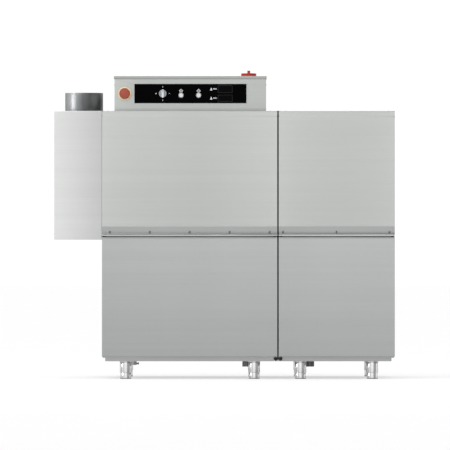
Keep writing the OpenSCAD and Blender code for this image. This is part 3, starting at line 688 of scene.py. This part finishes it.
def main_switch_details():
    """Broad cap round the switch base, and a ridge on its grip."""
    at = centre("main_switch_base")
    step_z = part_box("main_switch_base")[0].z + 8.5 * MM
    cap = mm((33.8, 0), (39.6, 0), (39.8, 0.6), (39.8, 6.6), (39, 7.8), (33.8, 8.2))
    bm = bmesh.new()
    lathe(bm, cap, (at.x, at.y, step_z), steps=64, closed=True)
    piece("switch_cap", bm, "casing", "stop_red")
    low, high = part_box("main_switch_handle")
    bm = bmesh.new()
    add_box(bm, (at.x - 2 * MM, low.y + 4 * MM, high.z - 1 * MM),
            (at.x + 2 * MM, low.y + 24 * MM, high.z + 0.8 * MM), 0.6 * MM)
    piece("switch_ridge", bm, "main_switch_handle", "knob_white", 0)


# ---------------------------------------------------------------- doors, front and feet


def door_screws():
    """Domed cross-head screws in place of the plain ones along both handle strips."""
    for door in ("main_door", "prewash_door"):
        node = door + "_screws"
        face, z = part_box(node)[1].y, centre(node).z
        bm = bmesh.new()
        for x in columns(node, 0, 30 * MM):
            dome_screw(bm, (x, face, z), 5.8 * MM, 3.4 * MM)
        heads = piece(door + "_screw_heads", bm, door, "screw_steel", 40)
        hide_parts(node)


def door_trim():
    """Hem along the top of each door, the rolled lip under its handle strip and the seal at its foot."""
    hem_h, hem_w, hem_t = 30 * MM, 3 * MM, 0.3 * MM
    for door in ("main_door", "prewash_door"):
        low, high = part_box(door)
        x0, x1, z0, z1 = low.x, high.x, high.z - hem_h, high.z
        bm = bmesh.new()
        for a, b in (((x0, z0), (x1, z0 + hem_w)), ((x0, z1 - hem_w), (x1, z1)),
                     ((x0, z0), (x0 + hem_w, z1)), ((x1 - hem_w, z0), (x1, z1))):
            add_box(bm, (a[0], low.y - hem_t, a[1]), (b[0], low.y + 0.4 * MM, b[1]), 0.25 * MM)
        piece(door + "_hem", bm, door, "panel_steel", 30)

        lip, lip_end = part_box(door + "_handle")
        bm = bmesh.new()
        add_box(bm, (lip.x, lip.y, lip.z - 3 * MM), (lip_end.x, lip.y + 3.4 * MM, lip.z + 7 * MM),
                0.8 * MM, 3)
        piece(door + "_lip_roll", bm, door, "lip_steel_painted_highlight", 60)

        bm = bmesh.new()
        add_box(bm, (low.x + 20 * MM, high.y - 6 * MM, low.z - 5 * MM),
                (high.x - 20 * MM, high.y - 2 * MM, low.z + 1 * MM), 1.5 * MM)
        piece(door + "_foot_seal", bm, door, "hose_grey")


def panel_trim():
    """Drip rail on top of each lower front panel, and the hem that slopes back below it."""
    seam_low, seam_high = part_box("module_seal")
    low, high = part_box("lower_front_panels")
    play, sheet, rail_h = 0.3 * MM, 3 * MM, 5 * MM
    hem_h, back, inset = 8 * MM, 2 * MM, 6 * MM
    for k, (x0, x1) in enumerate(((low.x, seam_low.x - play), (seam_high.x + play, high.x))):
        bm = bmesh.new()
        add_box(bm, (x0, low.y + 1.5 * MM, high.z), (x1, high.y - 1 * MM, high.z + rail_h), 1.2 * MM, 3)
        piece(f"drip_rail_{k}", bm, "casing", "panel_steel", 40)
        foot0, foot1 = x0 + inset * (k == 0), x1 - inset * (k == 1)
        y, y_back = low.y, low.y + sheet
        bm = bmesh.new()
        loft(bm, [[(x0, y, low.z), (x1, y, low.z), (x1, y_back, low.z), (x0, y_back, low.z)],
                  [(foot0, y + back, low.z - hem_h), (foot1, y + back, low.z - hem_h),
                   (foot1, y_back, low.z - hem_h), (foot0, y_back, low.z - hem_h)]])
        piece(f"panel_foot_{k}", bm, "casing", "plinth_steel", 0)


def joint_trim():
    """Two lobes of the clamp at the foot of the module joint, and the plates that close the plinth there."""
    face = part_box("joining_clamp")[0].y
    mid = centre("joining_clamp")
    lobe = mm((0, 2.4), (4, 2.2), (7.4, 0.8), (8, 0), (8, -0.8))
    bm = bmesh.new()
    for side in (-1, 1):
        x = mid.x + side * 13 * MM
        lathe(bm, lobe, (x, face, mid.z), "-Y")
        add_box(bm, (x - 4 * MM, face - 2.9 * MM, mid.z - 0.8 * MM),
                (x + 4 * MM, face - 1.8 * MM, mid.z + 0.8 * MM), 0.3 * MM, 1)
    piece("clamp_lobes", bm, "casing", "clamp_plastic", 40)

    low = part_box("main_chassis")[0]
    bm = bmesh.new()
    for side in (-1, 1):
        x0, x1 = sorted((mid.x + side * 0.8 * MM, mid.x + side * 19 * MM))
        add_box(bm, (x0, low.y + 0.3 * MM, low.z + 0.1 * MM), (x1, low.y + 1.2 * MM, low.z + 24.5 * MM),
                0.2 * MM, 1)
    piece("plinth_joint_covers", bm, "casing", "plinth_steel")


def leg_details():
    """Collars at the top of the leg tubes, and rubber rims round the foot cups."""
    leg_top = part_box("legs")[1].z
    collar = mm((31, 0), (34, 0.3), (34, 2.2), (31, 2.5))
    rim = mm((27, 0.2), (28.8, 0.4), (28.8, 3), (27, 3.4))
    collars, rims = bmesh.new(), bmesh.new()
    for x in columns("foot_cups", 0, 50 * MM):
        for y in columns("foot_cups", 1, 50 * MM):
            lathe(collars, collar, (x, y, leg_top - 2.6 * MM), steps=48, closed=True)
            lathe(rims, rim, (x, y, 0), steps=48, closed=True)
    piece("leg_rings", collars, "casing", "leg_steel")
    piece("foot_pads", rims, "casing", "cable_black")


def inlet_boss():
    """Small vent screw on the side of the water inlet pipe, under the base."""
    at = centre("booster_boiler")
    pipe_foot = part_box("booster_boiler")[0].z
    bm = bmesh.new()
    lathe(bm, mm((4, 15), (4, 22), (6, 22), (6, 28), (5, 29)), (at.x, at.y, pipe_foot + 8 * MM), "+X", 24)
    piece("inlet_vent_screw", bm, "casing", "screw_steel")


# ---------------------------------------------------------------- hood, roof and back


def rack_opening():
    """Half width, bottom and top of the rack opening, from the rack rails and the exit curtain's rod."""
    rails_low, rails_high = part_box("rack_rails")
    rod_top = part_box("exit_curtain")[1].z
    return rails_high.y + 9 * MM, rails_low.z - 9.7 * MM, rod_top - 16 * MM


def hood_details():
    """Flange and rivets round the duct collar, a rim round the rack opening and screws on the end face."""
    low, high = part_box("exit_hood")
    duct, duct_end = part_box("duct_collar")
    mid = centre("duct_collar")
    r = (duct_end.x - duct.x) / 2
    flange_w, flange_t = 16 * MM, 1.2 * MM
    bm = bmesh.new()
    lathe(bm, [(r, 0), (r + flange_w, 0), (r + flange_w, flange_t), (r + 3 * MM, 1.6 * MM),
               (r + 0.6 * MM, 5 * MM), (r, 5 * MM)], (mid.x, mid.y, high.z), steps=96, closed=True)
    piece("duct_flange", bm, "casing", "duct_steel")
    rivets, rivet_r = 12, r + 10 * MM
    bm = bmesh.new()
    for i in range(rivets):
        a = 2 * math.pi * (i + 0.5) / rivets
        at = (mid.x + rivet_r * math.cos(a), mid.y + rivet_r * math.sin(a), high.z + flange_t)
        dome_screw(bm, at, 3 * MM, 1.6 * MM, "+Z", cross=False)
    piece("duct_rivets", bm, "casing", "screw_steel", 40)

    half, z0, z1 = rack_opening()
    bm = bmesh.new()
    for a, b in border(-half, z0, half, z1, 14 * MM):
        add_box(bm, (low.x - 1.5 * MM, *a), (low.x, *b), 0.5 * MM)
    piece("hood_opening_rim", bm, "casing", "hood_steel_painted_light", 30)

    near, far = 30 * MM, 130 * MM
    bm = bmesh.new()
    for y in (low.y + near, low.y + far, high.y - far, high.y - near):
        for z in (low.z + near, high.z - near):
            dome_screw(bm, (low.x, y, z), 4 * MM, 2.2 * MM, "-X")
    piece("hood_side_screws", bm, "casing", "screw_steel", 40)


def back_details():
    """Screws and louvres on the rear panels, and a service plate with its cable gland."""
    low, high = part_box("rear_panels")
    seam = centre("module_seal").x
    edge, end = 25 * MM, 22 * MM
    bm = bmesh.new()
    for x0, x1, count in ((low.x, seam - 4 * MM, 6), (seam + 4 * MM, high.x, 4)):
        along = [x0 + edge + (x1 - x0 - 2 * edge) * i / (count - 1) for i in range(count)]
        spots = [(x, z) for x in along for z in (low.z + end, high.z - end)]
        spots += [(x, low.z + up) for up in (320 * MM, 640 * MM, 960 * MM) for x in (x0 + edge, x1 - edge)]
        for x, z in spots:
            dome_screw(bm, (x, high.y, z), 4.5 * MM, 2.4 * MM, "+Y")
    piece("rear_screws", bm, "casing", "screw_steel", 40)

    louvres, vent_w = 9, 200 * MM
    for k, x in enumerate((low.x + 180 * MM, seam + 190 * MM)):
        bm = bmesh.new()
        for i in range(louvres):
            louvre(bm, x, x + vent_w, high.y, low.z + (90 + 24 * i) * MM)
        piece(f"rear_vent_{k}", bm, "casing", "panel_steel", 50)

    x, y, z = seam - 160 * MM, high.y, low.z + 90 * MM
    half_w, half_h, plate_t = 70 * MM, 45 * MM, 1.2 * MM
    bm = bmesh.new()
    add_box(bm, (x - half_w, y, z - half_h), (x + half_w, y + plate_t, z + half_h), 0.4 * MM)
    for dx in (-60 * MM, 60 * MM):
        for dz in (-36 * MM, 36 * MM):
            dome_screw(bm, (x + dx, y + plate_t, z + dz), 3 * MM, 1.8 * MM, "+Y")
    piece("service_plate", bm, "casing", "frame_steel", 40)
    hexagon = 6
    bm = bmesh.new()
    lathe(bm, mm((0, 1), (15, 1), (15, 7), (11, 8.5), (0, 8.5)), (x, y, z), "+Y", hexagon)
    piece("cable_gland", bm, "casing", "clamp_plastic", 20)


def roof_details():
    """Cover over the module joint, screws of the roof and the control box, and the box's vents and feet."""
    low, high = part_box("roof_panels")
    mid = centre("module_seal").x
    bm = bmesh.new()
    add_box(bm, (mid - 14 * MM, low.y + 12 * MM, high.z), (mid + 14 * MM, high.y - 2 * MM, high.z + 1.5 * MM),
            0.6 * MM)
    piece("roof_seam_cover", bm, "casing", "frame_steel", 30)
    bm = bmesh.new()
    for x in (low.x + 30 * MM, mid - 40 * MM, mid + 40 * MM, high.x - 30 * MM):
        for y in (low.y + 40 * MM, high.y - 40 * MM):
            dome_screw(bm, (x, y, high.z), 5 * MM, 2.4 * MM, "+Z")
    piece("roof_screws", bm, "casing", "screw_steel", 40)

    box, box_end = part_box("control_box")
    edge, screw_z = 40 * MM, box_end.z - 30 * MM
    bm = bmesh.new()
    for x, out in ((box.x, "-X"), (box_end.x, "+X")):
        for y in (box.y + edge, box_end.y - edge):
            dome_screw(bm, (x, y, screw_z), 4 * MM, 2.2 * MM, out)
    for i in range(5):
        x = box.x + edge + (box_end.x - box.x - 2 * edge) * i / 4
        dome_screw(bm, (x, box_end.y, screw_z), 4 * MM, 2.2 * MM, "+Y")
    piece("box_screws", bm, "casing", "screw_steel", 40)
    bm = bmesh.new()
    for x in (box.x + 110 * MM, box.x + 530 * MM):
        for i in range(4):
            louvre(bm, x, x + 150 * MM, box_end.y, box.z + (40 + 22 * i) * MM)
    piece("box_vents", bm, "casing", "panel_steel", 50)
    foot_w, foot_t = 12 * MM, 1.5 * MM
    bm = bmesh.new()
    add_box(bm, (box.x - foot_w, box.y - 0.2 * MM, box.z), (box.x, box_end.y, box.z + foot_t), 0.5 * MM, 1)
    add_box(bm, (box_end.x, box.y, box.z), (box_end.x + foot_w, box_end.y, box.z + foot_t), 0.5 * MM, 1)
    piece("box_feet", bm, "casing", "frame_steel", 30)


# ---------------------------------------------------------------- inside


def rim_of(grid):
    """Border points of a grid of points, in order."""
    return grid[0] + [row[-1] for row in grid[1:]] + grid[-1][-2::-1] + [row[0] for row in grid[-2:0:-1]]


def curtain_strip(bm, mid_x, y0, y1, top, foot, phase):
    """One strip from y0 to y1 that hangs from top to foot, bowed, and twisted and curled towards its foot."""
    rows, cols, half_t = 24, 6, 0.9 * MM
    curl, ripple = 1.1 * MM, 0.5 * MM
    bow = RNG.uniform(-1.6, 1.6) * MM
    twist = RNG.uniform(-1.2, 1.2) * MM
    sheets = []
    for side in (-1, 1):
        grid = []
        for r in range(rows + 1):
            t = r / rows
            row = []
            for c in range(cols + 1):
                u = 2 * c / cols - 1
                x = mid_x + bow * math.sin(math.pi * t) + twist * u * t + curl * (u * u - 0.5) * t
                x += ripple * math.sin(9 * t + phase) * t + side * half_t
                row.append(bm.verts.new((x, y0 + (y1 - y0) * c / cols, top + (foot - top) * t)))
            grid.append(row)
        sheets.append(grid)
        for a, b in zip(grid, grid[1:]):
            for c in range(cols):
                bm.faces.new((a[c], a[c + 1], b[c + 1], b[c]))
    front, back = (rim_of(grid) for grid in sheets)
    for k in range(len(front)):
        j = (k + 1) % len(front)
        bm.faces.new((front[k], front[j], back[j], back[k]))


def curtains():
    """Flexible strips clamped to each rod, in place of the plain slabs."""
    count, half, gap = 6, 240 * MM, 3 * MM
    pitch = 2 * half / count
    for node in ("entry_curtain", "middle_curtain", "exit_curtain"):
        low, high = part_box(node)
        mid = centre(node)
        rod_z = high.z - 6 * MM
        bm = bmesh.new()
        for i in range(count):
            y0 = mid.y - half + pitch * i + gap / 2
            curtain_strip(bm, mid.x, y0, y0 + pitch - gap, rod_z - 28 * MM, low.z, i)
        strips = piece(node + "_strips", bm, node, "curtain_film", 60)
        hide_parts(node)

        bm = bmesh.new()
        lathe(bm, mm((6, -252), (6, 252)), (mid.x, mid.y, rod_z), "-Y", 24)
        for x in (mid.x - 3.5 * MM, mid.x + 1.5 * MM):
            add_box(bm, (x, mid.y - half, rod_z - 30 * MM), (x + 2 * MM, mid.y + half, rod_z - 3 * MM),
                    0.5 * MM)
        for i in range(count):
            y = mid.y - half + pitch * (i + 0.5)
            dome_screw(bm, (mid.x + 3.5 * MM, y, rod_z - 18 * MM), 4 * MM, 2 * MM, "+X")
        piece(node + "_rod", bm, node, "frame_steel", 40)


def inner_lines():
    """Rinse hose from the boiler up to the spray arms, and wires in the control box."""
    at = centre("booster_boiler")
    boiler_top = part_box("booster_boiler")[1].z
    arms_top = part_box("spray_arms")[1].z
    rail_side, over_rails = 0.9, 1.2
    hose("rinse_hose", [(at.x, at.y, boiler_top - 10 * MM),
                        (at.x - 20 * MM, at.y + 30 * MM, boiler_top + 120 * MM),
                        (at.x - 40 * MM, at.y + 110 * MM, rail_side),
                        (at.x - 30 * MM, at.y + 110 * MM, over_rails),
                        (at.x, at.y + 30 * MM, arms_top - 12 * MM)], 9 * MM, "casing", "hose_grey")
    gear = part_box("electrical_gear")[0]
    path = mm((0, 0, 0), (6, -14, 12), (30, -24, 4), (44, -22, -60))
    for i in range(5):
        start = gear + Vector(((72 + 62 * i) * MM, 20 * MM, 95 * MM))
        hose(f"box_wire_{i}", [start + Vector(step) for step in path], 2.2 * MM, "casing", "cable_black")


# ---------------------------------------------------------------- studio

# Dark screens round the machine: angle from the operator's side towards +X, half width, both in
# radians, and how much of the light they take away
SCREENS = ((0.95, 0.42, 0.62), (-0.72, 0.16, 0.30), (-1.55, 0.14, 0.5), (2.5, 0.3, 0.45), (-2.6, 0.3, 0.45))
SCREEN_BLUR = 0.22


def screens(tree, direction):
    """Factor below 1 where a direction points at one of the dark screens."""
    split = tree.nodes.new("ShaderNodeSeparateXYZ")
    tree.links.new(direction, split.inputs[0])
    x, y, _ = split.outputs
    side = calculate(tree, "ARCTAN2", x, calculate(tree, "MULTIPLY", y, -1.0))
    factor = 1.0
    for middle, half, dark in SCREENS:
        away = calculate(tree, "ABSOLUTE", calculate(tree, "SUBTRACT", side, middle))
        edge = tree.nodes.new("ShaderNodeMapRange")
        edge.interpolation_type = "SMOOTHSTEP"
        for key, value in zip(("From Min", "From Max", "To Min", "To Max"),
                              (half, half + SCREEN_BLUR, 1 - dark, 1.0)):
            edge.inputs[key].default_value = value
        tree.links.new(away, edge.inputs["Value"])
        factor = calculate(tree, "MULTIPLY", factor, edge.outputs["Result"])
    return factor


def surroundings():
    """White to the camera; for reflections a bright ceiling over a greyer room with dark screens."""
    white, room_light, ceiling_gain = 1.03, 1.02, 0.30
    world = bpy.data.worlds.new("surroundings")
    world.use_nodes = True
    tree = world.node_tree
    coord = tree.nodes.new("ShaderNodeTexCoord")
    split = tree.nodes.new("ShaderNodeSeparateXYZ")
    tree.links.new(coord.outputs["Generated"], split.inputs[0])
    up = calculate(tree, "MAXIMUM", split.outputs["Z"], -0.2)
    room = calculate(tree, "MULTIPLY_ADD", up, ceiling_gain, room_light)
    room = calculate(tree, "MULTIPLY", room, screens(tree, coord.outputs["Generated"]))
    path = tree.nodes.new("ShaderNodeLightPath")
    plain = calculate(tree, "MAXIMUM", path.outputs["Is Camera Ray"], path.outputs["Is Diffuse Ray"])
    value = calculate(tree, "MULTIPLY_ADD", plain, calculate(tree, "SUBTRACT", white, room), room)
    back = tree.nodes["Background"]
    tree.links.new(value, back.inputs["Strength"])
    back.inputs["Color"].default_value = (1, 1, 1, 1)
    return world


def pale_floor():
    """Pale floor that glows a little, so shadows stay soft, and shows the dark screens in reflections."""
    grey, glow = 0.42, 0.545
    n = Nodes("floor_pale")
    away = n.new("VectorMath", "SCALE")
    away.inputs["Scale"].default_value = -1.0
    n.link(n.new("NewGeometry").outputs["Incoming"], away.inputs[0])
    mirrored = n.new("LightPath").outputs["Is Glossy Ray"]
    shown = calculate(n.tree, "SUBTRACT", screens(n.tree, away.outputs["Vector"]), 1.0)
    shown = calculate(n.tree, "MULTIPLY_ADD", shown, mirrored, 1.0)
    haze = n.span(n.noise((0.6, 0.6, 0.6), 2.0), 0.985, 1.0)
    n.set(Base_Color=n.scaled((grey, grey, grey), n.multiply(haze, shown)), Roughness=0.9,
          Specular_IOR_Level=0.1, Emission_Color=(1, 1, 1, 1), Emission_Strength=n.multiply(shown, glow))
    return n.mat


def area_light(name, at, aim, size, power):
    """Soft box at a point, turned towards aim."""
    data = bpy.data.lights.new(name, "AREA")
    data.shape = "RECTANGLE"
    data.size, data.size_y = size
    data.energy = power
    obj = bpy.data.objects.new(name, data)
    obj.location = at
    obj.rotation_euler = (Vector(aim) - Vector(at)).to_track_quat("-Z", "Y").to_euler()
    bpy.context.scene.collection.objects.link(obj)


def studio():
    """Pale floor, white surroundings, soft boxes and a long-lens camera square to the front."""
    floor_size = 120.0
    bm = bmesh.new()
    bmesh.ops.create_grid(bm, x_segments=8, y_segments=8, size=floor_size / 2)
    mesh = bpy.data.meshes.new("floor")
    bm.to_mesh(mesh)
    bm.free()
    mesh.materials.append(pale_floor())
    floor = bpy.data.objects.new("floor", mesh)
    bpy.context.scene.collection.objects.link(floor)
    floor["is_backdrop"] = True
    bpy.context.scene.world = surroundings()
    area_light("key_top", (-1.8, -3.0, 4.4), (0, 0, 0.9), (3.2, 2.2), 53)
    area_light("fill_left", (-5.6, -1.9, 1.7), (-0.8, 0, 1.1), (1.6, 3.2), 66)
    area_light("rim_back", (2.4, 3.6, 3.2), (0, 0, 0.8), (3.2, 2.2), 18)

    distance, view_width, sensor = 40.0, 2.35, 36
    aim_x, aim_z = 0.003, 0.804
    camera = bpy.data.cameras.new("camera")
    camera.sensor_width = sensor
    camera.lens = sensor * distance / view_width
    camera.clip_end = 300
    obj = bpy.data.objects.new("camera", camera)
    obj.location = (aim_x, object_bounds()[0].y - distance, aim_z)
    obj.rotation_euler = (math.radians(90), 0, 0)
    bpy.context.scene.collection.objects.link(obj)
    bpy.context.scene.camera = obj
    bpy.context.scene.view_settings.view_transform = "Standard"


finish_frame()
panel_prints()
display_bezels()
button_details()
knob_details()
estop_details()
main_switch_details()
door_screws()
door_trim()
panel_trim()
joint_trim()
leg_details()
inlet_boss()
hood_details()
back_details()
roof_details()
curtains()
inner_lines()
studio()

bpy.context.view_layer.update()
